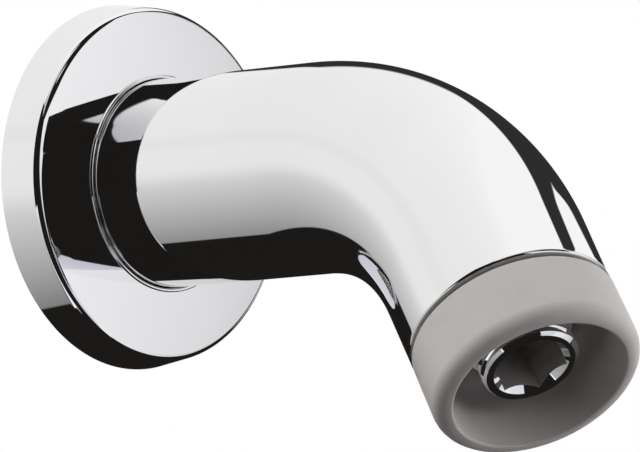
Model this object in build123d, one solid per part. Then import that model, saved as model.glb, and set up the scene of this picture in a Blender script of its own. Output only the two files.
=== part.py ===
from build123d import *
import os
from math import sqrt

# Short wall-mounted shower arm: a hollow cast arm, a round wall flange, two threaded connection nipples,
# their seals and a grey outlet shroud. Millimetres. The origin is the centre of the flange's back, on the
# wall. +Z is up, and the arm leaves the wall along -Y.

# Arm casting
arm_diameter = 45.0
arm_wall = 3.5
arm_straight = 56.5  # from the wall to the start of the bend
bend_radius = 64.0
bend_angle = 54.0
outlet_straight = 15.1  # from the end of the bend to the seam with the shroud
wall_gap = 2.0  # from the arm's back face to the wall
inlet_end_length = 16.5  # solid end of the casting that holds the inlet nipple
outlet_end_length = 15.0  # solid end of the casting that holds the outlet nipple
arm_edge_round = 0.8
over_cut = 1.0  # how far a cut runs past the face that it opens

# Pipe threads, drawn as cylinders over their crests
half_inch_thread = 20.955
three_eighth_thread = 16.662
thread_clearance = 0.05
thread_chamfer = 0.6

# Wall flange
flange_diameter = 79.0
flange_side_taper = 1.4  # how much the radius shrinks from the wall to the front edge
flange_edge_height = 9.4
flange_dome_radius = 300.0
flange_wall = 1.6
flange_edge_round = 1.8
collar_height = 0.45
collar_wall = 0.85
collar_round = 0.4
sleeve_wall = 1.2
sleeve_length = 6.0
flange_clearance = 0.15

# Seal ring that grips the flange on the arm
flange_ring_section = 1.78
flange_ring_groove_width = 2.6
flange_ring_groove_depth = 1.3
flange_ring_from_wall = 7.6  # to the middle of the groove
ring_clearance = 0.02

# Inlet nipple and its gasket
inlet_collar_diameter = 28.0
inlet_collar_thickness = 4.0
inlet_collar_recess = 0.5  # how far the collar sits inside the arm's back face
inlet_collar_clearance = 0.6
inlet_thread_length = 16.5
inlet_tail_length = 10.5
inlet_bore = 11.0
inlet_key = 12.0
inlet_key_depth = 10.0
inlet_gasket_thickness = 1.5
inlet_gasket_width = 3.2
gasket_clearance = 0.3

# Outlet nipple and its seal ring
outlet_hex = 21.0
outlet_hex_thickness = 4.0
outlet_hex_chamfer = 0.6  # along the thickness, at the corners
outlet_hex_chamfer_width = 1.2  # across the face, at the corners
outlet_thread_length = 6.9
outlet_tail_length = 13.5
outlet_bore = 10.0
outlet_key = 14.0
outlet_key_depth = 10.7
outlet_ring_section = 2.4
outlet_ring_groove_width = 3.0
outlet_ring_gap = 2.1  # between the nipple's tail and the arm's counterbore
key_chamfer = 1.3

# Outlet shroud
shroud_length = 16.6  # from the seam to the mouth
shroud_flare = 0.25
shroud_lip_thickness = 3.85
shroud_lip_round = 3.2
shroud_mouth_round = 0.45
shroud_edge_round = 0.3
shroud_bowl_taper = 1.2  # how much the inside radius shrinks from the mouth to the floor
shroud_bowl_round = 5.0
shroud_floor_thickness = 3.2
shroud_hole_clearance = 0.3
spigot_depth = 2.6
spigot_clearance = 0.15
rim_wall = 2.2  # casting wall round the shroud's spigot
seam_gap = 1.0

# Radii that several pieces share
arm_radius = arm_diameter / 2
core_radius = arm_radius - arm_wall
half_inch_radius = half_inch_thread / 2
three_eighth_radius = three_eighth_thread / 2
gasket_radius = inlet_collar_diameter / 2 - gasket_clearance
gasket_bore_radius = gasket_radius - inlet_gasket_width

# Lines along the arm: distance from the wall at the inlet, distance from the seam at the outlet
inlet_seat = wall_gap + inlet_collar_recess + inlet_collar_thickness
inlet_counterbore_floor = inlet_seat + inlet_gasket_thickness
inlet_core_start = wall_gap + inlet_end_length
spigot_floor = -spigot_depth
outlet_seat = spigot_floor + shroud_floor_thickness

# Centre line of the arm in the upright plane through the wall pipe
with BuildLine(Plane.YZ) as centre_line:
    wall_run = Line((-wall_gap, 0), (-arm_straight, 0))
    bend = JernArc(wall_run @ 1, wall_run % 1, bend_radius, bend_angle)
    outlet_run = Line(bend @ 1, bend @ 1 + outlet_straight * (bend % 1))
seam_point = outlet_run @ 1
outlet_direction = outlet_run % 1

# Frames whose Z axis runs out of the wall, into the wall from the inlet nipple's seat, and out of the outlet
from_wall = Plane((0, 0, 0), x_dir=(1, 0, 0), z_dir=(0, -1, 0)).location
into_wall = Plane((0, -inlet_seat, 0), x_dir=(1, 0, 0), z_dir=(0, 1, 0)).location
outlet = Plane(seam_point, x_dir=(1, 0, 0), z_dir=outlet_direction).location


def rod(radius, start, end):
    """A cylinder along Z from start to end."""
    return Pos(0, 0, start) * Cylinder(radius, end - start, align=(Align.CENTER, Align.CENTER, Align.MIN))


def turned(outline):
    """A solid of revolution about Z from a closed outline of lines drawn as (radius, height)."""
    return revolve(Plane.XZ * make_face(outline), Axis.Z)


def corner(face, radius, height):
    """The vertex of a flat outline that lies nearest to a point."""
    return face.vertices().sort_by_distance((radius, height))[0]


def arm_tube(radius):
    """A solid bar along the arm's centre line."""
    start = Plane((0, -wall_gap, 0), x_dir=(1, 0, 0), z_dir=(0, -1, 0))
    return sweep(start * Circle(radius), path=centre_line.wire())


def seal_ring(inner_radius, outer_radius, section):
    """A rubber ring squeezed between two round walls into an oval with its round section's area."""
    half_width = (outer_radius - inner_radius) / 2 - ring_clearance
    half_height = section**2 / 4 / half_width
    oval = Pos((inner_radius + outer_radius) / 2, 0) * Ellipse(half_width, half_height)
    return revolve(Plane.XZ * oval, Axis.Z)


def arm_body():
    """The casting: a bent tube with a solid end at each side, bored for the nipples."""
    core = arm_tube(core_radius)
    core -= from_wall * rod(arm_radius, 0, inlet_core_start)
    core -= outlet * rod(arm_radius, -outlet_end_length, 0)
    body = arm_tube(arm_radius) - core

    collar_radius = inlet_collar_diameter / 2 + inlet_collar_clearance
    inlet_socket = rod(collar_radius, 0, inlet_counterbore_floor)
    inlet_socket += rod(half_inch_radius + thread_clearance, 0, inlet_core_start + over_cut)
    groove_start = flange_ring_from_wall - flange_ring_groove_width / 2
    groove_end = flange_ring_from_wall + flange_ring_groove_width / 2
    groove = rod(arm_radius + over_cut, groove_start, groove_end)
    groove -= rod(arm_radius - flange_ring_groove_depth, groove_start, groove_end)
    body -= from_wall * (inlet_socket + groove)

    ring_floor = spigot_floor - outlet_ring_groove_width
    outlet_socket = rod(arm_radius - rim_wall, spigot_floor, over_cut)
    outlet_socket += rod(three_eighth_radius + outlet_ring_gap, ring_floor, 0)
    outlet_socket += rod(three_eighth_radius + thread_clearance, -outlet_end_length - over_cut, 0)
    body -= outlet * outlet_socket

    rims = body.edges().filter_by(GeomType.CIRCLE)
    outer_rims = ShapeList(rim for rim in rims if rim.radius > arm_radius - rim_wall / 2)
    seam_rim = outer_rims.sort_by_distance(seam_point)[0]
    return fillet(seam_rim, arm_edge_round)


def dome_height(radius, inset):
    """Height over the wall of the flange's domed face, or of a surface an inset below it."""
    front_radius = flange_diameter / 2 - flange_side_taper
    dome_centre = flange_edge_height - sqrt(flange_dome_radius**2 - front_radius**2)
    return dome_centre + sqrt((flange_dome_radius - inset) ** 2 - radius**2)


def dome_arc(start_radius, end_radius, inset):
    """The line of the flange's domed face, or of its inside, between two radii."""
    places = (start_radius, (start_radius + end_radius) / 2, end_radius)
    return ThreePointArc([(radius, dome_height(radius, inset)) for radius in places])


def wall_flange():
    """The cover plate: a thin domed cup with a sleeve and a raised collar round the arm."""
    back_radius = flange_diameter / 2
    front_radius = back_radius - flange_side_taper
    hole_radius = arm_radius + flange_clearance
    collar_radius = hole_radius + collar_wall
    sleeve_radius = hole_radius + sleeve_wall
    collar_foot = dome_height(collar_radius, 0)
    collar_top = collar_foot + collar_height
    sleeve_end = collar_foot - sleeve_length
    sleeve_root = dome_height(sleeve_radius, flange_wall)
    inner_radius = front_radius - flange_wall
    inner_height = dome_height(inner_radius, flange_wall)

    face = Line((back_radius, 0), (front_radius, flange_edge_height))
    face += dome_arc(front_radius, collar_radius, 0)
    face += Polyline(
        (collar_radius, collar_foot),
        (collar_radius, collar_top),
        (hole_radius, collar_top),
        (hole_radius, sleeve_end),
        (sleeve_radius, sleeve_end),
        (sleeve_radius, sleeve_root),
    )
    face += dome_arc(sleeve_radius, inner_radius, flange_wall)
    face += Polyline((inner_radius, inner_height), (back_radius - flange_wall, 0), (back_radius, 0))
    outline = make_face(face)
    outline = fillet(corner(outline, front_radius, flange_edge_height), flange_edge_round)
    outline = fillet(corner(outline, collar_radius, collar_top), collar_round)
    outline = fillet(corner(outline, hole_radius, collar_top), collar_round)
    return from_wall * revolve(Plane.XZ * outline, Axis.Z)


def flange_seal_ring():
    """The ring in the arm's groove that holds the flange by friction."""
    groove_floor = arm_radius - flange_ring_groove_depth
    ring = seal_ring(groove_floor, arm_radius + flange_clearance, flange_ring_section)
    return from_wall * Pos(0, 0, flange_ring_from_wall) * ring


def threaded_end(radius, length):
    """A threaded rod from height 0 up to its chamfered free end."""
    return turned(
        Polyline(
            (0, 0),
            (radius, 0),
            (radius, length - thread_chamfer),
            (radius - thread_chamfer, length),
            (0, length),
            (0, 0),
        )
    )


def nipple(collar, collar_thickness, thread_length, tail_radius, tail_length, bore, key, key_depth):
    """A nipple seated at height 0: thread outwards, tail into the arm, key socket in its free end."""
    end = collar_thickness + thread_length
    tail = mirror(threaded_end(tail_radius, tail_length), Plane.XY)
    body = threaded_end(half_inch_radius, end) + tail + collar
    body -= rod(bore / 2, -tail_length, end)
    socket = extrude(RegularPolygon(key / 2, 6, major_radius=False, rotation=30), key_depth)
    body -= Pos(0, 0, end - key_depth) * socket
    below = (Align.CENTER, Align.CENTER, Align.MAX)
    lead_in = Cone(key / 2, key / 2 + key_chamfer, key_chamfer, align=below)
    return body - Pos(0, 0, end) * lead_in


def inlet_nipple():
    """The wall-side nipple, with a collar that presses on the gasket and a neck that passes through it."""
    collar = rod(inlet_collar_diameter / 2, 0, inlet_collar_thickness)
    body = nipple(
        collar,
        inlet_collar_thickness,
        inlet_thread_length,
        half_inch_radius,
        inlet_tail_length + inlet_gasket_thickness,
        inlet_bore,
        inlet_key,
        inlet_key_depth,
    )
    undercut = rod(half_inch_radius + over_cut, -inlet_gasket_thickness, 0)
    undercut -= rod(gasket_bore_radius - gasket_clearance, -inlet_gasket_thickness, 0)
    return into_wall * (body - undercut)


def inlet_gasket():
    """The flat fibre ring under the inlet nipple's collar."""
    ring = rod(gasket_radius, -inlet_gasket_thickness, 0)
    ring -= rod(gasket_bore_radius, -inlet_gasket_thickness, 0)
    return into_wall * ring


def outlet_nipple():
    """The shower-head nipple, with a chamfered hexagon that clamps the shroud's floor."""
    hexagon = extrude(RegularPolygon(outlet_hex / 2, 6, major_radius=False), outlet_hex_thickness)
    corner_radius = outlet_hex / sqrt(3)
    round_off = turned(
        Polyline(
            (0, 0),
            (corner_radius, 0),
            (corner_radius, outlet_hex_thickness - outlet_hex_chamfer),
            (corner_radius - outlet_hex_chamfer_width, outlet_hex_thickness),
            (0, outlet_hex_thickness),
            (0, 0),
        )
    )
    return outlet * Pos(0, 0, outlet_seat) * nipple(
        hexagon & round_off,
        outlet_hex_thickness,
        outlet_thread_length,
        three_eighth_radius,
        outlet_tail_length,
        outlet_bore,
        outlet_key,
        outlet_key_depth,
    )


def outlet_seal_ring():
    """The ring round the outlet nipple's tail, in the arm's counterbore."""
    ring = seal_ring(three_eighth_radius, three_eighth_radius + outlet_ring_gap, outlet_ring_section)
    return outlet * Pos(0, 0, spigot_floor - outlet_ring_groove_width / 2) * ring


def outlet_shroud():
    """The plastic bell: a spigot in the arm's rim, a round lip and a smooth bowl round the nipple."""
    lip_radius = arm_radius + shroud_flare
    mouth_radius = lip_radius - shroud_lip_thickness
    bowl_radius = mouth_radius - shroud_bowl_taper
    spigot_radius = arm_radius - rim_wall - spigot_clearance
    hole_radius = three_eighth_radius + shroud_hole_clearance
    outline = make_face(
        Polyline(
            (hole_radius, spigot_floor),
            (spigot_radius, spigot_floor),
            (spigot_radius, seam_gap),
            (arm_radius, seam_gap),
            (lip_radius, shroud_length),
            (mouth_radius, shroud_length),
            (bowl_radius, outlet_seat),
            (hole_radius, outlet_seat),
            (hole_radius, spigot_floor),
        )
    )
    outline = fillet(corner(outline, arm_radius, seam_gap), shroud_edge_round)
    outline = fillet(corner(outline, lip_radius, shroud_length), shroud_lip_round)
    outline = fillet(corner(outline, mouth_radius, shroud_length), shroud_mouth_round)
    outline = fillet(corner(outline, bowl_radius, outlet_seat), shroud_bowl_round)
    return outlet * revolve(Plane.XZ * outline, Axis.Z)


pieces = {
    "arm_body": arm_body,
    "wall_flange": wall_flange,
    "flange_seal_ring": flange_seal_ring,
    "inlet_nipple": inlet_nipple,
    "inlet_gasket": inlet_gasket,
    "outlet_nipple": outlet_nipple,
    "outlet_seal_ring": outlet_seal_ring,
    "outlet_shroud": outlet_shroud,
}

os.makedirs("parts", exist_ok=True)
for name, make in pieces.items():
    export_step(make(), f"parts/{name}.step")
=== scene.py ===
from math import atan2, cos, hypot, pi, radians, sin, sqrt

import bpy
from bpy.props import FloatProperty, FloatVectorProperty, IntProperty, PointerProperty
from mathutils import Matrix, Vector


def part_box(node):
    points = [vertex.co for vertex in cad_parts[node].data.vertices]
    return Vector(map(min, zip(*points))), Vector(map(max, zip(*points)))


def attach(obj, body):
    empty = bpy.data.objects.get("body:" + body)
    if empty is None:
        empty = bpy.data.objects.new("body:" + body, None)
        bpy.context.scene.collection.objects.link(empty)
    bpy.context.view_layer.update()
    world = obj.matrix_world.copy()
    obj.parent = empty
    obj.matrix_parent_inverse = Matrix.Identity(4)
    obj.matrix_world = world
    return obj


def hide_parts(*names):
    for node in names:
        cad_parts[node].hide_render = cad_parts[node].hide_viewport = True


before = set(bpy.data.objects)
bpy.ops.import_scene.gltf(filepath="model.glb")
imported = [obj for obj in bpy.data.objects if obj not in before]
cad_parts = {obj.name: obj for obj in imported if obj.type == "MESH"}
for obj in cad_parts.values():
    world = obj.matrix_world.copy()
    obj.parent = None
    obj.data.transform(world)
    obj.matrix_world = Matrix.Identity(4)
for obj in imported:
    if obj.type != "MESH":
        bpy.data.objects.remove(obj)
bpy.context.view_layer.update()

bl_info = {
    "name": "Shower Arm",
    "version": (1, 0, 0),
    "blender": (4, 5, 0),
    "location": "View3D > Sidebar > Shower Arm",
    "description": "Finishes a short chrome shower arm round its fixed frame and sets it in a studio",
    "category": "Object",
}

BODY = "root"

MM = 0.001
APART = 0.05 * MM  # keeps the faces of two forms from touching, so that one cuts the other cleanly
PAST = 1.0 * MM  # how far a form reaches past the face that it cuts, or into the form that it joins
PINHOLE = 0.01 * MM  # radius that a turned tool leaves open round its axis
GROOVE_PROUD = 0.3 * MM  # how far the tool that cuts a thread stands out of the crests
WELD = 0.001 * MM  # points closer than this are merged

ARC_STEPS = 6  # facets along a rounded edge
DOME_STEPS = 16  # rings across the flange's domed face
STRAIGHT_STEPS = 24  # rings along the arm's straight run
BEND_STEPS = 54  # rings round the arm's bend
OUTLET_STEPS = 8  # rings from the bend to the seam

SQUARE = 0.9  # share of its normal along a direction from which a face counts as square to it
LEANING = 0.7  # the same for a face that may lean by half a right angle
SEAM_REACH = 0.3 * MM  # how far from the seam the casting's end gets the dull finish that paints the shade in the seam's gap


# Properties

def length(name, description, millimetres):
    """A length that a user can change, given in millimetres and kept in metres."""
    return FloatProperty(
        name=name, description=description, default=millimetres * MM, precision=5, unit="LENGTH"
    )


def angle(name, description, degrees):
    """An angle that a user can change, given in degrees."""
    return FloatProperty(name=name, description=description, default=radians(degrees), subtype="ANGLE")


def colour(name, description, red, green, blue):
    """A colour that a user can change, in linear light."""
    return FloatVectorProperty(
        name=name, description=description, default=(red, green, blue), min=0, max=1, subtype="COLOR"
    )


def width_of(node):
    """The width of a node of the frame across the wall, in millimetres."""
    low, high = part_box(node)
    return (high.x - low.x) / MM


class CastingSizes(bpy.types.PropertyGroup):
    """Sizes of the bent arm and of the sockets in its two ends."""

    diameter: length("Diameter", "Outside diameter of the arm", width_of("arm_body"))
    wall: length("Wall", "Wall of the hollow arm", 3.5)
    straight: length("Straight run", "From the wall to the start of the bend", 56.5)
    bend_radius: length("Bend radius", "Radius of the centre line in the bend", 64.0)
    bend_angle: angle("Bend angle", "How far the arm bends down", 54.0)
    outlet_run: length("Outlet run", "From the end of the bend to the seam", 15.1)
    wall_gap: length("Wall gap", "From the arm's back face to the wall", 2.0)
    inlet_end: length("Inlet end", "Solid end that holds the inlet nipple", 16.5)
    outlet_end: length("Outlet end", "Solid end that holds the outlet nipple", 15.0)
    seam_round: length("Seam round", "Rounding of the rim at the seam", 0.8)
    rim_wall: length("Rim wall", "Wall round the shroud's spigot", 2.2)
    spigot_depth: length("Spigot depth", "How deep the shroud sits in the rim", 2.6)
    groove_place: length("Groove place", "From the wall to the middle of the seal groove", 7.6)
    groove_width: length("Groove width", "Width of the seal groove", 2.6)
    groove_depth: length("Groove depth", "Depth of the seal groove", 1.3)
    ring_room: length("Seal room", "Depth of the counterbore for the outlet seal", 3.0)
    ring_gap: length("Seal gap", "From the nipple's tail to the wall of that counterbore", 2.1)
    collar_room: length("Collar room", "From the inlet nipple's collar to its counterbore", 0.6)
    gasket: length("Gasket", "Thickness of the inlet gasket", 1.5)
    gasket_neck: length("Gasket neck", "Diameter of the nipple inside the gasket", 20.4)
    thread_room: length("Thread room", "Clearance round a nipple's tail", 0.05)
    sides: IntProperty(name="Sides", description="Facets round the arm", default=192, min=48)


class FlangeSizes(bpy.types.PropertyGroup):
    """Sizes of the wall flange."""

    diameter: length("Diameter", "Diameter on the wall", width_of("wall_flange"))
    side_taper: length("Side taper", "How much the radius shrinks up to the front edge", 1.4)
    edge_height: length("Edge height", "Height of the front edge over the wall", 9.4)
    edge_round: length("Edge round", "Rounding of the front edge", 1.8)
    dome_radius: length("Dome radius", "Radius of the domed face", 300.0)
    wall: length("Wall", "Thickness of the shell", 1.6)
    collar_height: length("Collar height", "Height of the raised ring round the arm", 0.45)
    collar_wall: length("Collar wall", "Thickness of the raised ring", 0.85)
    collar_round: length("Collar round", "Rounding of the raised ring", 0.4)
    sleeve_wall: length("Sleeve wall", "Wall of the sleeve round the arm", 1.2)
    sleeve_length: length("Sleeve length", "Length of the sleeve behind the face", 6.0)
    clearance: length("Clearance", "From the sleeve to the arm", 0.15)
    sides: IntProperty(name="Sides", description="Facets round the flange", default=256, min=48)


class ShroudSizes(bpy.types.PropertyGroup):
    """Sizes of the grey outlet shroud."""

    depth: length("Depth", "From the seam to the mouth", 16.6)
    flare: length("Flare", "How much wider the lip is than the arm, on the radius", 0.25)
    lip: length("Lip", "Thickness of the lip", 3.85)
    lip_round: length("Lip round", "Rounding outside the lip", 3.2)
    mouth_round: length("Mouth round", "Rounding inside the lip", 0.45)
    seam_round: length("Seam round", "Rounding of the edge at the seam", 0.3)
    bowl_taper: length("Bowl taper", "How much the bowl narrows to its floor, on the radius", 1.2)
    bowl_round: length("Bowl round", "Rounding between the bowl's wall and floor", 5.0)
    floor: length("Floor", "Thickness of the floor", 3.2)
    hole_room: length("Hole room", "From the hole to the nipple's tail", 0.3)
    spigot_room: length("Spigot room", "From the spigot to the arm's rim", 0.15)
    seam_gap: length("Seam gap", "Open joint between the arm and the shroud", 1.0)
    sides: IntProperty(name="Sides", description="Facets round the shroud", default=192, min=48)


class ThreadSizes(bpy.types.PropertyGroup):
    """Sizes of the half-inch pipe thread and of the tails inside the arm."""

    crest: length("Crest", "Diameter over the crests", 20.955)
    pitch: length("Pitch", "From one turn to the next", 1.814)
    depth: length("Depth", "From crest to root", 1.162)
    chamfer: length("Chamfer", "Chamfer of a free end", 0.6)
    relief: length("Relief", "Plain neck between the thread and the collar", 1.1)
    tail: length("Tail", "Diameter of the outlet nipple's tail", 16.662)
    key_chamfer: length("Key chamfer", "Lead-in of a key socket", 1.3)
    sides: IntProperty(name="Sides", description="Facets round a nipple", default=96, min=24)


class InletSizes(bpy.types.PropertyGroup):
    """Sizes of the nipple on the wall side."""

    collar: length("Collar", "Diameter of the round collar", 28.0)
    collar_thickness: length("Collar thickness", "Thickness of the collar", 4.0)
    collar_recess: length("Collar recess", "How far the collar sits inside the arm", 0.5)
    thread_length: length("Thread length", "From the collar to the free end", 16.5)
    tail_length: length("Tail length", "From the collar's seat to the end inside the arm", 12.0)
    bore: length("Bore", "Diameter of the waterway", 11.0)
    key: length("Key", "Size of the hexagon key", 12.0)
    key_depth: length("Key depth", "Depth of the key socket", 10.0)


class OutletSizes(bpy.types.PropertyGroup):
    """Sizes of the nipple that takes the shower head."""

    collar: length("Hexagon", "Size across the flats of the hexagon", 21.0)
    collar_thickness: length("Hexagon thickness", "Thickness of the hexagon", 4.0)
    corner_height: length("Corner chamfer", "Chamfer of the corners along the thickness", 0.6)
    corner_width: length("Corner chamfer width", "Chamfer of the corners across the face", 1.2)
    thread_length: length("Thread length", "From the hexagon to the free end", 6.9)
    tail_length: length("Tail length", "From the hexagon's seat to the end inside the arm", 13.5)
    bore: length("Bore", "Diameter of the waterway", 10.0)
    key: length("Key", "Size of the hexagon key", 14.0)
    key_depth: length("Key depth", "Depth of the key socket", 10.7)


class Finishes(bpy.types.PropertyGroup):
    """Colours of the finishes, in linear light."""

    chrome: colour("Chrome", "Polished chrome plate", 0.90, 0.90, 0.905)
    plastic: colour("Grey plastic", "Moulded shroud", 0.455, 0.43, 0.417)
    # the bare colour also paints the shade in the seam's gap, on the casting's end
    bare_and_seam_shade: colour("Bare metal", "Inside of the key socket and the seam", 0.42, 0.405, 0.385)
    brass: colour("Brass", "Turned brass of the inlet nipple", 0.72, 0.52, 0.24)
    fibre: colour("Fibre", "Pressed fibre of the gasket", 0.32, 0.09, 0.05)
    rubber: colour("Rubber", "Black rubber of the seal rings", 0.02, 0.02, 0.021)


class Studio(bpy.types.PropertyGroup):
    """Camera, lamps and floor."""

    azimuth: angle("Azimuth", "Where the camera stands round the upright axis", -46.02)
    elevation: angle("Elevation", "Height of the camera over the horizon", -14.46)
    roll: angle("Roll", "Turn of the picture about the line of sight", 8.23)
    distance: length("Distance", "From the camera to its aim", 1852.0)
    aim_side: length("Aim side", "Shift of the aim to the right of the picture", 16.77)
    aim_up: length("Aim up", "Shift of the aim up the picture", 1.19)
    lens: FloatProperty(name="Lens", description="Focal length in millimetres", default=488.5)
    floor_drop: length("Floor drop", "From the wall pipe's axis down to the floor", 650.0)
    ambient: FloatProperty(name="Ambient", description="Soft light from all round", default=1.0)
    left_power: FloatProperty(name="Left", description="Lamp at the left", default=16.0, unit="POWER")
    right_power: FloatProperty(name="Right", description="Lamp at the right", default=12.0, unit="POWER")
    front_power: FloatProperty(name="Front", description="Lamp in front", default=6.3, unit="POWER")
    high_power: FloatProperty(name="High", description="Lamp at the upper right", default=7.0, unit="POWER")
    pale: colour("Floor", "Pale floor", 0.80, 0.80, 0.81)


class ShowerArm(bpy.types.PropertyGroup):
    """All the sizes and colours of the shower arm."""

    casting: PointerProperty(type=CastingSizes)
    flange: PointerProperty(type=FlangeSizes)
    shroud: PointerProperty(type=ShroudSizes)
    thread: PointerProperty(type=ThreadSizes)
    inlet: PointerProperty(type=InletSizes)
    outlet: PointerProperty(type=OutletSizes)
    finishes: PointerProperty(type=Finishes)
    studio: PointerProperty(type=Studio)


# Places along the arm

def along(origin, direction):
    """A frame at a point whose Z axis runs along a direction and whose X axis lies across the wall."""
    z_axis = Vector(direction).normalized()
    x_axis = Vector((1, 0, 0))
    y_axis = z_axis.cross(x_axis)
    frame_axes = Matrix((x_axis, y_axis, z_axis)).transposed().to_4x4()
    return Matrix.Translation(origin) @ frame_axes


def from_wall():
    """The frame on the wall, with Z running out along the arm."""
    return along((0, 0, 0), (0, -1, 0))


def bend_centre(casting):
    """The point that the bend turns about."""
    return Vector((0, -casting.straight, -casting.bend_radius))


def at_seam(casting):
    """The frame on the seam with the shroud, with Z running out of the outlet."""
    turn = casting.bend_angle
    direction = Vector((0, -cos(turn), -sin(turn)))
    spoke = Vector((0, -sin(turn), cos(turn)))
    bend_end = bend_centre(casting) + spoke * casting.bend_radius
    return along(bend_end + direction * casting.outlet_run, direction)


def inlet_seat(arm):
    """Distance from the wall to the seat under the inlet nipple's collar."""
    return arm.casting.wall_gap + arm.inlet.collar_recess + arm.inlet.collar_thickness


def outlet_seat(arm):
    """Distance from the seam to the seat under the outlet nipple's hexagon."""
    return arm.shroud.floor - arm.casting.spigot_depth


# Modelling

def rounded(before, corner, after, radius):
    """The points of an arc that rounds the corner of an outline between its two neighbours."""
    back = (before - corner).normalized()
    onward = (after - corner).normalized()
    half = back.angle(onward) / 2
    middle = corner + (back + onward).normalized() * radius / sin(half)
    reach = radius * cos(half) / sin(half)
    start = (corner + back * reach - middle).normalized()
    end = (corner + onward * reach - middle).normalized()
    return [middle + start.slerp(end, step / ARC_STEPS) * radius for step in range(ARC_STEPS + 1)]


def outline(*corners):
    """The points of an outline, from corners of a radius, a height and, where it is rounded, a rounding."""
    points = [Vector(corner[:2]) for corner in corners]
    path = []
    for index, corner in enumerate(corners):
        if len(corner) > 2:
            after = points[(index + 1) % len(points)]
            path += rounded(points[index - 1], points[index], after, corner[2])
        else:
            path.append(points[index])
    return path


def add_ring(name, place, point, sides):
    """Adds a ring of edges round a frame's Z axis and opens it for modelling."""
    bpy.ops.object.select_all(action="DESELECT")
    bpy.ops.mesh.primitive_circle_add(vertices=sides, radius=point.x)
    ring = bpy.context.object
    ring.name = name
    ring.data.name = name
    ring.matrix_world = place @ Matrix.Translation((0, 0, point.y))
    bpy.ops.object.transform_apply(location=True, rotation=True, scale=True)
    bpy.ops.object.mode_set(mode="EDIT")
    bpy.ops.mesh.select_mode(type="EDGE")
    bpy.ops.mesh.select_all(action="SELECT")
    return ring


def follow(place, here, path):
    """Extrudes the open ring from point to point of radius and height along a frame's Z axis."""
    axis = place.col[2].to_3d()
    for point in path:
        centre = place @ Vector((0, 0, point.y))
        shift = axis * (point.y - here.y)
        bpy.ops.mesh.extrude_edges_move(TRANSFORM_OT_translate={"value": shift})
        scale = point.x / here.x
        bpy.ops.transform.resize(value=(scale, scale, scale), center_override=centre)
        here = point
    return here


def run(here, end_height, steps):
    """Points of an even straight run at the radius of the last one."""
    rise = end_height - here.y
    return [Vector((here.x, here.y + rise * step / steps)) for step in range(1, steps + 1)]


def close_mesh():
    """Joins the last ring to the first and turns all faces outwards."""
    bpy.ops.mesh.select_all(action="SELECT")
    bpy.ops.mesh.remove_doubles(threshold=WELD)
    bpy.ops.mesh.normals_make_consistent(inside=False)
    bpy.ops.object.mode_set(mode="OBJECT")


def turned(name, path, place, sides):
    """A closed turned form whose outline runs from point to point round a frame's Z axis."""
    piece = add_ring(name, place, path[0], sides)
    follow(place, path[0], path[1:] + path[:1])
    close_mesh()
    return piece


def pick(piece):
    """Selects one piece alone and makes it the active one."""
    bpy.ops.object.select_all(action="DESELECT")
    piece.select_set(True)
    bpy.context.view_layer.objects.active = piece


def apply_modifier(piece, kind, **settings):
    """Gives a piece a modifier and applies it."""
    pick(piece)
    modifier = piece.modifiers.new(kind.lower(), kind)
    for name, value in settings.items():
        setattr(modifier, name, value)
    bpy.ops.object.modifier_apply(modifier=modifier.name)


def combine(piece, tool, operation):
    """Cuts, joins or intersects a piece with a tool and removes the tool."""
    apply_modifier(piece, "BOOLEAN", object=tool, operation=operation, solver="EXACT")
    bpy.data.objects.remove(tool)


def smooth(piece, sharp_over=30):
    """Shades a piece smooth up to its edges, and keeps its flat faces flat."""
    pick(piece)
    bpy.ops.object.shade_smooth_by_angle(angle=radians(sharp_over))
    apply_modifier(piece, "WEIGHTED_NORMAL", keep_sharp=True, weight=100)


def finish_piece(piece, node):
    """Lets a finished piece stand for a node of the frame."""
    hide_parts(node)
    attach(piece, BODY)


def prism(across_flats, height, base, turn):
    """A hexagonal bar along Z that starts at a base height, with a corner at an angle from X."""
    bpy.ops.object.select_all(action="DESELECT")
    bpy.ops.mesh.primitive_cylinder_add(
        vertices=6, radius=across_flats / sqrt(3), depth=height, location=(0, 0, base + height / 2)
    )
    bar = bpy.context.object
    bar.rotation_euler.z = turn - pi / 2
    bpy.ops.object.transform_apply(location=True, rotation=True, scale=True)
    return bar


def thread_groove(thread, start, turns):
    """The helical groove of a thread round Z, as a solid to be cut away."""
    ring = (thread.depth + GROOVE_PROUD) / 1.5  # a triangle is as high as 1.5 radii of the ring round it
    root = thread.crest / 2 - thread.depth
    bpy.ops.object.select_all(action="DESELECT")
    bpy.ops.mesh.primitive_circle_add(vertices=3, radius=ring)
    groove = bpy.context.object
    groove.matrix_world = (
        Matrix.Translation((root + ring, 0, start))
        @ Matrix.Rotation(pi / 2, 4, "X")
        @ Matrix.Rotation(pi / 2, 4, "Z")
    )
    bpy.ops.object.transform_apply(location=True, rotation=True, scale=True)
    apply_modifier(
        groove, "SCREW", axis="Z", angle=2 * pi, screw_offset=thread.pitch,
        iterations=turns, steps=thread.sides, render_steps=thread.sides,
    )
    bpy.ops.object.mode_set(mode="EDIT")
    bpy.ops.mesh.select_all(action="SELECT")
    bpy.ops.mesh.fill_holes(sides=3)
    close_mesh()
    return groove


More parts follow.
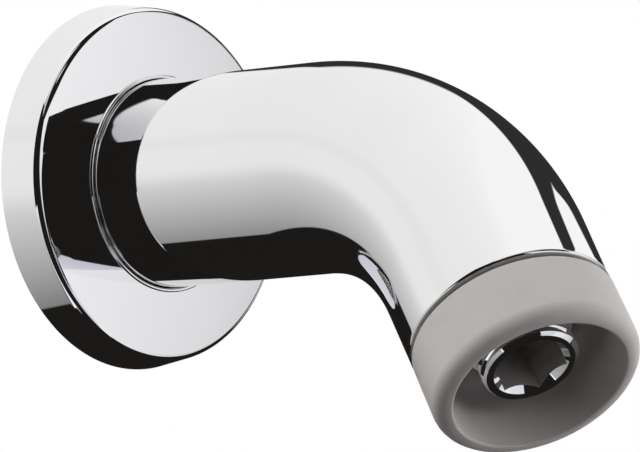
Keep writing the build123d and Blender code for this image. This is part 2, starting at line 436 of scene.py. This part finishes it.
def nipple(name, arm, size, tail):
    """A threaded nipple round Z, seated at height 0, with its key socket and without its collar."""
    thread = arm.thread
    crest = thread.crest / 2
    neck = crest - thread.depth - APART
    end = size.collar_thickness + size.thread_length
    neck_end = size.collar_thickness + thread.relief
    chamfer = thread.chamfer
    tail_radius = tail[0][0]
    path = outline(
        (size.bore / 2, -size.tail_length),
        (tail_radius - chamfer, -size.tail_length),
        (tail_radius, chamfer - size.tail_length),
        *tail,
        (neck, PAST),
        (neck, neck_end - chamfer),
        (crest, neck_end),
        (crest, end - chamfer),
        (crest - chamfer, end),
        (size.bore / 2, end),
    )
    piece = turned(name, path, Matrix(), thread.sides)
    turns = int(size.thread_length / thread.pitch) + 1
    combine(piece, thread_groove(thread, neck_end - thread.pitch, turns + 1), "DIFFERENCE")
    socket = prism(size.key, size.key_depth + PAST, end - size.key_depth, pi / 2)
    combine(piece, socket, "DIFFERENCE")
    lead_start = end - thread.key_chamfer - APART
    lead_in = outline(
        (PINHOLE, lead_start),
        (size.key / 2 - APART, lead_start),
        (size.key / 2 + thread.key_chamfer + PAST, end + PAST),
        (PINHOLE, end + PAST),
    )
    combine(piece, turned("lead_in", lead_in, Matrix(), thread.sides), "DIFFERENCE")
    return piece


def add_finish(piece, material):
    """Gives a piece one more material, and returns its number on the piece."""
    piece.data.materials.append(material)
    return len(piece.data.materials) - 1


def dull_socket(piece, size, material):
    """Gives the walls and floor of a nipple's key socket and bore their unplated finish."""
    dull = add_finish(piece, material)
    for face in piece.data.polygons:
        spoke = face.center.xy
        wall = spoke.dot(face.normal.xy) < -SQUARE * spoke.length
        floor = spoke.length < size.key / 2 and abs(face.normal.z) > SQUARE
        if wall or floor:
            face.material_index = dull


def paint_seam_shade(piece, place, material):
    """Gives the end of the casting inside the seam a dull unplated finish, which paints the shade that
    falls in the gap between arm and shroud.
    """
    dull = add_finish(piece, material)
    from_seam = place.inverted()
    axis = place.col[2].xyz
    for face in piece.data.polygons:
        if face.normal.dot(axis) > LEANING and abs((from_seam @ face.center).z) < SEAM_REACH:
            face.material_index = dull


def put(piece, place):
    """Moves a piece modelled round the Z axis to its place on the arm."""
    pick(piece)
    piece.matrix_world = place
    bpy.ops.object.transform_apply(location=True, rotation=True, scale=True)


# Materials

def make(tree, kind, sockets, **settings):
    """Adds a node, and fills its sockets with values or with links from other nodes."""
    node = tree.nodes.new(kind)
    for name, value in settings.items():
        setattr(node, name, value)
    for name, value in sockets.items():
        if isinstance(value, bpy.types.NodeSocket):
            tree.links.new(value, node.inputs[name])
        else:
            node.inputs[name].default_value = value
    return node


def ramp(tree, factor, *stops):
    """A colour ramp of stops, each a place and a colour, read by a factor."""
    node = make(tree, "ShaderNodeValToRGB", {"Fac": factor})
    elements = node.color_ramp.elements
    for element, (place, shade) in zip(elements, stops):
        element.position = place
        element.color = (*shade, 1)
    return node.outputs["Color"]


def toned(shade, factor):
    """A colour made lighter or darker."""
    return [min(1.0, channel * factor) for channel in shade]


def noise(tree, place, grain, detail):
    """Noise whose grains have a size."""
    node = make(tree, "ShaderNodeTexNoise", {"Vector": place, "Scale": 1 / grain, "Detail": detail})
    return node.outputs["Fac"]


def drifting(name, shade, spread, patch, smoothest, roughest, metallic=0.0):
    """A material whose tone and gloss drift a little from patch to patch, as on a real surface."""
    material = bpy.data.materials.new(name)
    material.use_nodes = True
    tree = material.node_tree
    shader = tree.nodes["Principled BSDF"]
    shader.inputs["Metallic"].default_value = metallic
    place = make(tree, "ShaderNodeTexCoord", {}).outputs["Object"]
    clouds = noise(tree, place, patch, 4.0)
    thin, thick = 0.3, 0.7  # the range in which most of the noise lies
    tone = ramp(tree, clouds, (thin, toned(shade, 1 - spread)), (thick, toned(shade, 1 + spread)))
    tree.links.new(tone, shader.inputs["Base Color"])
    gloss = make(
        tree, "ShaderNodeMapRange",
        {"Value": clouds, "From Min": thin, "From Max": thick, "To Min": smoothest, "To Max": roughest},
    )
    tree.links.new(gloss.outputs["Result"], shader.inputs["Roughness"])
    return material, tree, shader, place


def relief(tree, shader, height, depth, strength):
    """Lets a height pattern raise the surface by a real depth."""
    bump = make(tree, "ShaderNodeBump", {"Height": height, "Distance": depth, "Strength": strength})
    tree.links.new(bump.outputs["Normal"], shader.inputs["Normal"])


def chrome_plate(finishes):
    """Polished chrome plate with a faint haze that varies over a few centimetres."""
    material, *_ = drifting(
        "chrome_plate", finishes.chrome, spread=0.015, patch=30 * MM,
        smoothest=0.015, roughest=0.04, metallic=1.0,
    )
    return material


def moulded_plastic(finishes):
    """Matt grey moulded plastic with a fine spark-eroded grain."""
    material, tree, shader, place = drifting(
        "grey_plastic", finishes.plastic, spread=0.03, patch=4 * MM, smoothest=0.42, roughest=0.5
    )
    relief(tree, shader, noise(tree, place, 0.22 * MM, 2.0), depth=0.02 * MM, strength=0.25)
    return material


def bare_metal(finishes):
    """Dull metal inside the key socket, where the plating doesn't reach, and on the casting's end in the
    seam, where it paints the shade of the gap.
    """
    material, tree, shader, place = drifting(
        "bare_metal", finishes.bare_and_seam_shade, spread=0.1, patch=2 * MM,
        smoothest=0.4, roughest=0.55, metallic=0.5,
    )
    relief(tree, shader, noise(tree, place, 0.4 * MM, 3.0), depth=0.02 * MM, strength=0.3)
    return material


def turned_brass(finishes):
    """Plain brass with the fine rings that a lathe leaves."""
    material, tree, shader, place = drifting(
        "turned_brass", finishes.brass, spread=0.08, patch=6 * MM,
        smoothest=0.2, roughest=0.32, metallic=1.0,
    )
    rings = make(
        tree, "ShaderNodeTexWave", {"Vector": place, "Scale": 1 / (2 * MM), "Distortion": 0.6},
        wave_type="BANDS", bands_direction="Y",
    )
    relief(tree, shader, rings.outputs["Fac"], depth=0.01 * MM, strength=0.3)
    return material


def pressed_fibre(finishes):
    """Red-brown pressed fibre with short flecks."""
    material, tree, shader, place = drifting(
        "pressed_fibre", finishes.fibre, spread=0.25, patch=0.8 * MM, smoothest=0.7, roughest=0.85
    )
    flecks = make(tree, "ShaderNodeTexVoronoi", {"Vector": place, "Scale": 1 / (0.5 * MM)})
    relief(tree, shader, flecks.outputs["Distance"], depth=0.03 * MM, strength=0.4)
    return material


def black_rubber(finishes):
    """Smooth black rubber with a dull bloom."""
    material, tree, shader, place = drifting(
        "black_rubber", finishes.rubber, spread=0.2, patch=3 * MM, smoothest=0.45, roughest=0.6
    )
    relief(tree, shader, noise(tree, place, 0.3 * MM, 2.0), depth=0.01 * MM, strength=0.3)
    return material


SHARED = {}


def shared(make_material):
    """The material that a function makes, made once and then used again."""
    name = make_material.__name__
    if name not in SHARED:
        SHARED[name] = make_material(bpy.context.scene.shower_arm.finishes)
    return SHARED[name]


# Operators

class SHOWER_OT_casting(bpy.types.Operator):
    """Model the bent chrome arm, hollow, with the sockets in its ends"""

    bl_idname = "shower.casting"
    bl_label = "Arm Casting"

    def execute(self, context):
        arm = context.scene.shower_arm
        size = arm.casting
        radius = size.diameter / 2
        core = radius - size.wall
        tail = arm.thread.tail / 2
        groove_start = size.groove_place - size.groove_width / 2
        groove_end = size.groove_place + size.groove_width / 2
        groove = radius - size.groove_depth
        centre = bend_centre(size)
        spin = {"steps": BEND_STEPS, "center": centre, "axis": (1, 0, 0)}

        wall = from_wall()
        here = Vector((radius, size.wall_gap))
        piece = add_ring("arm_casting", wall, here, size.sides)
        seal_groove = outline(
            (radius, groove_start), (groove, groove_start), (groove, groove_end), (radius, groove_end)
        )
        here = follow(wall, here, seal_groove)
        follow(wall, here, run(here, size.straight, STRAIGHT_STEPS))
        bpy.ops.mesh.spin(angle=-size.bend_angle, **spin)

        seam = at_seam(size)
        here = Vector((radius, -size.outlet_run))
        here = follow(seam, here, run(here, -2 * size.seam_round, OUTLET_STEPS))
        socket = radius - size.rim_wall
        seal = tail + size.ring_gap
        floor = -size.spigot_depth
        rim = rounded(here, Vector((radius, 0)), Vector((socket, 0)), size.seam_round)
        bores = outline(
            (socket, 0),
            (socket, floor),
            (seal, floor),
            (seal, floor - size.ring_room),
            (tail + size.thread_room, floor - size.ring_room),
            (tail + size.thread_room, -size.outlet_end),
            (core, -size.outlet_end),
            (core, -size.outlet_run),
        )
        follow(seam, here, rim + bores)
        bpy.ops.mesh.spin(angle=size.bend_angle, **spin)

        thread = arm.thread.crest / 2 + size.thread_room
        collar = arm.inlet.collar / 2 + size.collar_room
        inner_end = size.wall_gap + size.inlet_end
        counterbore = inlet_seat(arm) + size.gasket
        inlet = outline(
            (core, inner_end),
            (thread, inner_end),
            (thread, counterbore),
            (collar, counterbore),
            (collar, size.wall_gap),
            (radius, size.wall_gap),
        )
        follow(wall, Vector((core, size.straight)), inlet)
        close_mesh()
        smooth(piece)
        piece.data.materials.append(shared(chrome_plate))
        # the dull end paints the shade that falls in the seam's gap
        paint_seam_shade(piece, seam, shared(bare_metal))
        finish_piece(piece, "arm_body")
        return {"FINISHED"}


class SHOWER_OT_flange(bpy.types.Operator):
    """Model the domed wall flange with its collar and sleeve"""

    bl_idname = "shower.flange"
    bl_label = "Wall Flange"

    def execute(self, context):
        arm = context.scene.shower_arm
        size = arm.flange
        back = size.diameter / 2
        front = back - size.side_taper
        hole = arm.casting.diameter / 2 + size.clearance
        collar = hole + size.collar_wall
        sleeve = hole + size.sleeve_wall
        inner = front - size.wall
        dome_centre = size.edge_height - sqrt(size.dome_radius**2 - front**2)

        def dome(radius, inset):
            return dome_centre + sqrt((size.dome_radius - inset) ** 2 - radius**2)

        def dome_run(start, end, inset):
            radii = [start + (end - start) * step / DOME_STEPS for step in range(1, DOME_STEPS)]
            return [(radius, dome(radius, inset)) for radius in radii]

        foot = dome(collar, 0)
        top = foot + size.collar_height
        path = outline(
            (back, 0),
            (front, size.edge_height, size.edge_round),
            *dome_run(front - 2 * size.edge_round, collar, 0),
            (collar, foot),
            (collar, top, size.collar_round),
            (hole, top, size.collar_round),
            (hole, foot - size.sleeve_length),
            (sleeve, foot - size.sleeve_length),
            (sleeve, dome(sleeve, size.wall)),
            *dome_run(sleeve, inner, size.wall),
            (inner, dome(inner, size.wall)),
            (back - size.wall, 0),
        )
        piece = turned("flange_shell", path, from_wall(), size.sides)
        smooth(piece)
        piece.data.materials.append(shared(chrome_plate))
        finish_piece(piece, "wall_flange")
        return {"FINISHED"}


class SHOWER_OT_shroud(bpy.types.Operator):
    """Model the grey bell-shaped shroud round the outlet"""

    bl_idname = "shower.shroud"
    bl_label = "Outlet Shroud"

    def execute(self, context):
        arm = context.scene.shower_arm
        size = arm.shroud
        radius = arm.casting.diameter / 2
        lip = radius + size.flare
        mouth = lip - size.lip
        bowl = mouth - size.bowl_taper
        spigot = radius - arm.casting.rim_wall - size.spigot_room
        hole = arm.thread.tail / 2 + size.hole_room
        bottom = -arm.casting.spigot_depth
        seat = outlet_seat(arm)
        path = outline(
            (hole, bottom),
            (spigot, bottom),
            (spigot, size.seam_gap),
            (radius, size.seam_gap, size.seam_round),
            (lip, size.depth, size.lip_round),
            (mouth, size.depth, size.mouth_round),
            (bowl, seat, size.bowl_round),
            (hole, seat),
        )
        piece = turned("shroud_bell", path, at_seam(arm.casting), size.sides)
        smooth(piece)
        piece.data.materials.append(shared(moulded_plastic))
        finish_piece(piece, "outlet_shroud")
        return {"FINISHED"}


class SHOWER_OT_nipples(bpy.types.Operator):
    """Model the two threaded nipples, one for the wall and one for the shower head"""

    bl_idname = "shower.nipples"
    bl_label = "Threaded Nipples"

    def execute(self, context):
        arm = context.scene.shower_arm
        self.outlet(arm)
        self.inlet(arm)
        return {"FINISHED"}

    def outlet(self, arm):
        size = arm.outlet
        tail = arm.thread.tail / 2
        piece = nipple("outlet_nipple_threaded", arm, size, [(tail, PAST)])
        hole = (size.key / sqrt(3) + tail) / 2  # in the wall between the socket's corners and the tail
        corner = size.collar / sqrt(3) + APART
        top = size.collar_thickness
        round_off = outline(
            (hole, 0),
            (corner, 0),
            (corner, top - size.corner_height),
            (corner - size.corner_width, top),
            (hole, top),
        )
        hexagon = turned("hexagon", round_off, Matrix(), arm.thread.sides)
        combine(hexagon, prism(size.collar, top + 2 * PAST, -PAST, 0), "INTERSECT")
        combine(piece, hexagon, "UNION")
        piece.data.materials.append(shared(chrome_plate))
        dull_socket(piece, size, shared(bare_metal))
        put(piece, at_seam(arm.casting) @ Matrix.Translation((0, 0, outlet_seat(arm))))
        smooth(piece)
        finish_piece(piece, "outlet_nipple")

    def inlet(self, arm):
        size = arm.inlet
        tail = arm.thread.crest / 2
        neck = arm.casting.gasket_neck / 2
        gasket = arm.casting.gasket
        shank = [(tail, -gasket), (neck, -gasket), (neck, PAST)]
        piece = nipple("inlet_nipple_threaded", arm, size, shank)
        hole = size.key / 2 + PAST
        collar = outline(
            (hole, 0),
            (size.collar / 2, 0),
            (size.collar / 2, size.collar_thickness),
            (hole, size.collar_thickness),
        )
        combine(piece, turned("collar", collar, Matrix(), arm.thread.sides), "UNION")
        put(piece, along((0, -inlet_seat(arm), 0), (0, 1, 0)))
        smooth(piece)
        piece.data.materials.append(shared(turned_brass))
        finish_piece(piece, "inlet_nipple")


class SHOWER_OT_seals(bpy.types.Operator):
    """Give the gasket and the two seal rings of the frame their finish"""

    bl_idname = "shower.seals"
    bl_label = "Seals"

    def execute(self, context):
        seals = {
            "inlet_gasket": pressed_fibre,
            "flange_seal_ring": black_rubber,
            "outlet_seal_ring": black_rubber,
        }
        for node, make_material in seals.items():
            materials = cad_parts[node].data.materials
            materials.clear()
            materials.append(shared(make_material))
        return {"FINISHED"}


# Studio

AIM = (0, -35 * MM, -10 * MM)  # what the camera looks at, before its shifts
SENSOR_WIDTH = 36
CLIP_END = 50
FLOOR_SIZE = 12
LAMP_SIZE = 0.8
LAMP_AIM = (0, -0.12, -0.05)
LAMP_PLACES = {
    "left": (-1.3, 0.45, 0.6),
    "right": (1.3, -0.4, -0.2),
    "high": (1.0, -1.0, 0.8),
    "front": (0, -1.4, 0.5),
}
CARD_CELLS = 16
CARD_EDGES = (("X", 0.0), ("X", 1.0), ("Y", 0.0), ("Y", 1.0))  # left, right, foot and top
NEAR_BEND = (0, -80, 20)  # the point on the bend that the near plane faces, in millimetres
NEAR_SIDE = (46, 36)  # the angles at which that plane stands

BLACK = (0.012, 0.011, 0.01)
DARK = (0.028, 0.028, 0.028)
GREY = (0.10, 0.10, 0.10)
DULL = (0.55, 0.55, 0.57)
LILAC = (0.62, 0.62, 0.72)
MILKY = (0.80, 0.80, 0.80)
PALE = (0.85, 0.85, 0.85)
WHITE = (0.95, 0.95, 0.96)
CLEAR = (1, 1, 1)
HARD = (0.02, 0.02, 0.02, 0.02)  # shares of a card that fade out at its left, right, foot and top


def card_paper(name, low, high, soft):
    """Card that shades from its foot to its top and fades out at its left, right, foot and top."""
    material = bpy.data.materials.new(name)
    material.use_nodes = True
    tree = material.node_tree
    tree.nodes.clear()
    sheet = make(tree, "ShaderNodeUVMap", {}).outputs["UV"]
    spot = make(tree, "ShaderNodeSeparateXYZ", {"Vector": sheet})
    cover = None
    for (side, edge), width in zip(CARD_EDGES, soft):
        fade = make(
            tree, "ShaderNodeMapRange",
            {"Value": spot.outputs[side], "From Min": edge, "From Max": abs(edge - width)},
            interpolation_type="SMOOTHSTEP",
        ).outputs["Result"]
        if cover is not None:
            both = make(tree, "ShaderNodeMath", {0: cover, 1: fade}, operation="MULTIPLY")
            fade = both.outputs[0]
        cover = fade
    shade = ramp(tree, spot.outputs["Y"], (0.0, low), (1.0, high))
    lit = make(tree, "ShaderNodeEmission", {"Color": shade})
    clear = make(tree, "ShaderNodeBsdfTransparent", {})
    paper = make(tree, "ShaderNodeMixShader", {0: cover, 1: clear.outputs[0], 2: lit.outputs[0]})
    make(tree, "ShaderNodeOutputMaterial", {"Surface": paper.outputs[0]})
    return material


def behind(right, up, distance):
    """A point round the arm, at angles to the right of and above the wall pipe's axis behind the wall."""
    spread = radians(hypot(right, up))
    turn = atan2(up, right)
    return Vector((sin(spread) * cos(turn), cos(spread), sin(spread) * sin(turn))) * distance


def ahead(right, up, distance):
    """A point on an upright plane in front of the arm."""
    return Vector((right, -distance, up))


def over(right, up, distance):
    """A point on a near plane behind and above the bend, in millimetres from the plane's middle."""
    away = behind(*NEAR_SIDE, 1.0)
    level = away.cross(Vector((0, 0, 1))).normalized()
    return (Vector(NEAR_BEND) + away * distance + level * right + level.cross(away) * up) * MM


def add_card(name, point, distance, corners, low, high, soft):
    """Stands a card between four points, which the chrome mirrors and the camera doesn't see."""
    bpy.ops.object.select_all(action="DESELECT")
    bpy.ops.mesh.primitive_grid_add(x_subdivisions=CARD_CELLS, y_subdivisions=CARD_CELLS, size=2)
    card = bpy.context.object
    card.name = name
    low_left, low_right, high_right, high_left = [point(right, up, distance) for right, up in corners]
    for vertex in card.data.vertices:
        across = (vertex.co.x + 1) / 2
        foot = low_left.lerp(low_right, across)
        head = high_left.lerp(high_right, across)
        vertex.co = foot.lerp(head, (vertex.co.y + 1) / 2)
    card.data.materials.append(card_paper(name, low, high, soft))
    card.visible_camera = False


def add_lamp(name, place, power):
    """A soft square lamp that shines on the outlet and doesn't show in mirrors."""
    bpy.ops.object.light_add(type="AREA", location=place)
    lamp = bpy.context.object
    lamp.name = name
    lamp.data.size = LAMP_SIZE
    lamp.data.energy = power
    lamp.rotation_euler = (Vector(place) - Vector(LAMP_AIM)).to_track_quat("Z", "Y").to_euler()
    lamp.visible_glossy = False


def set_world(studio):
    """White to the camera and in mirrors, and a soft even light on everything else."""
    world = bpy.data.worlds.new("studio")
    bpy.context.scene.world = world
    world.use_nodes = True
    tree = world.node_tree
    tree.nodes.clear()
    rays = make(tree, "ShaderNodeLightPath", {}).outputs
    seen = rays["Is Camera Ray"]
    for kind in ("Is Glossy Ray", "Is Transmission Ray"):
        seen = make(tree, "ShaderNodeMath", {0: seen, 1: rays[kind]}, operation="MAXIMUM").outputs[0]
    plain = (*CLEAR, 1)
    soft = make(tree, "ShaderNodeBackground", {"Color": plain, "Strength": studio.ambient})
    white = make(tree, "ShaderNodeBackground", {"Color": plain, "Strength": 1.0})
    both = make(tree, "ShaderNodeMixShader", {0: seen, 1: soft.outputs[0], 2: white.outputs[0]})
    make(tree, "ShaderNodeOutputWorld", {"Surface": both.outputs[0]})


def set_camera(studio):
    """Stands the camera below and in front of the arm, rolled a little to its right."""
    turn, rise = studio.azimuth, studio.elevation
    back = Vector((sin(turn) * cos(rise), -cos(turn) * cos(rise), sin(rise)))
    level = Vector((cos(turn), sin(turn), 0))
    upright = back.cross(level)
    right = level * cos(studio.roll) + upright * sin(studio.roll)
    up = upright * cos(studio.roll) - level * sin(studio.roll)
    aim = Vector(AIM) + level * studio.aim_side + upright * studio.aim_up
    bpy.ops.object.camera_add(location=aim + back * studio.distance)
    camera = bpy.context.object
    camera.rotation_euler = Matrix((right, up, back)).transposed().to_euler()
    camera.data.lens = studio.lens
    camera.data.sensor_width = SENSOR_WIDTH
    camera.data.clip_end = CLIP_END
    bpy.context.scene.camera = camera


def add_cards():
    """Dark, grey and white cards that the chrome mirrors, each from its low left corner round."""
    add_card(
        "low_dark", behind, 4.0, ((-4, -100), (100, -90), (75, 16), (0.5, 8)),
        BLACK, BLACK, (0.02, 0.02, 0.02, 0.05),
    )
    add_card(
        "low_grey", behind, 9, ((-27, -93), (37, -5), (-20, 12), (-94, -49)),
        GREY, PALE, (0.02, 0.02, 0.02, 0.25),
    )
    add_card(
        "veil", behind, 90, ((-95, -30), (40, -30), (40, 65), (-95, 65)),
        MILKY, CLEAR, (0.1, 0.2, 0.02, 0.1),
    )
    add_card(
        "streak", behind, 20, ((-95, 7), (20, 7), (20, 17), (-95, 17)),
        PALE, PALE, (0.1, 0.3, 0.4, 0.4),
    )
    add_card(
        "tall_dark", over, 305, ((-20, 50), (135, 59), (330, 300), (313, 412)),
        DARK, DARK, (0.1, 0.06, 0.02, 0.05),
    )
    add_card(
        "short_dark", over, 300, ((-90, -120), (165, -60), (182, 118), (-112, 85)),
        DARK, DARK, (0.03, 0.03, 0.02, 0.15),
    )
    add_card(
        "left_dark", behind, 4.0, ((-112, -50), (-68, -35), (-71, 48), (-112, 60)),
        BLACK, BLACK, HARD,
    )
    add_card(
        "front_dark", ahead, 4.5, ((-18, -15), (40, -15), (40, 11), (-18, 11)),
        BLACK, BLACK, HARD,
    )
    add_card(
        "front_white", ahead, 4.4, ((-8.6, 0.9), (-4.2, 4.7), (-0.5, 6.55), (-14, 20)),
        DULL, WHITE, HARD,
    )
    add_card(
        "spike", ahead, 4.3, ((-1.7, 3.2), (-0.5, 3.25), (-0.4, 3.8), (-2.6, 4.3)),
        DULL, PALE, (0.15, 0.15, 0.1, 0.1),
    )
    add_card(
        "soft_box", ahead, 4.3, ((2.5, 6), (1.7, -2.6), (10, -7.7), (10, 11.4)),
        WHITE, DULL, (0.05, 0.02, 0.03, 0.02),
    )
    add_card(
        "near_white", ahead, 4.2, ((0.85, -2.4), (2.5, -2.9), (2.5, 1.75), (-2, 1.75)),
        LILAC, WHITE, HARD,
    )


class SHOWER_OT_stage(bpy.types.Operator):
    """Set the floor, the studio cards, the lamps, the world and the camera"""

    bl_idname = "shower.stage"
    bl_label = "Stage"

    def execute(self, context):
        studio = context.scene.shower_arm.studio
        bpy.ops.object.select_all(action="DESELECT")
        bpy.ops.mesh.primitive_plane_add(size=FLOOR_SIZE, location=(0, 0, -studio.floor_drop))
        floor = context.object
        floor.name = "floor"
        material, *_ = drifting(
            "pale_floor", studio.pale, spread=0.01, patch=0.4, smoothest=0.6, roughest=0.7
        )
        floor.data.materials.append(material)
        floor.visible_glossy = False
        floor.visible_diffuse = False
        floor.visible_shadow = False
        add_cards()
        for side, place in LAMP_PLACES.items():
            add_lamp(f"{side}_lamp", place, getattr(studio, f"{side}_power"))
        set_world(studio)
        set_camera(studio)
        context.scene.view_settings.view_transform = "Standard"
        return {"FINISHED"}


class SHOWER_PT_sidebar(bpy.types.Panel):
    """Steps that finish the shower arm"""

    bl_idname = "SHOWER_PT_sidebar"
    bl_label = "Shower Arm"
    bl_space_type = "VIEW_3D"
    bl_region_type = "UI"
    bl_category = "Shower Arm"

    def draw(self, context):
        for step in STEPS:
            self.layout.operator(step.bl_idname)


# Registration

STEPS = (
    SHOWER_OT_casting,
    SHOWER_OT_flange,
    SHOWER_OT_shroud,
    SHOWER_OT_nipples,
    SHOWER_OT_seals,
    SHOWER_OT_stage,
)
CLASSES = (
    CastingSizes,
    FlangeSizes,
    ShroudSizes,
    ThreadSizes,
    InletSizes,
    OutletSizes,
    Finishes,
    Studio,
    ShowerArm,
    *STEPS,
    SHOWER_PT_sidebar,
)


def register():
    for made in CLASSES:
        bpy.utils.register_class(made)
    bpy.types.Scene.shower_arm = PointerProperty(type=ShowerArm)


def unregister():
    del bpy.types.Scene.shower_arm
    for made in reversed(CLASSES):
        bpy.utils.unregister_class(made)


def main():
    register()
    bpy.ops.shower.casting()
    bpy.ops.shower.flange()
    bpy.ops.shower.shroud()
    bpy.ops.shower.nipples()
    bpy.ops.shower.seals()
    bpy.ops.shower.stage()


if __name__ == "__main__":
    main()
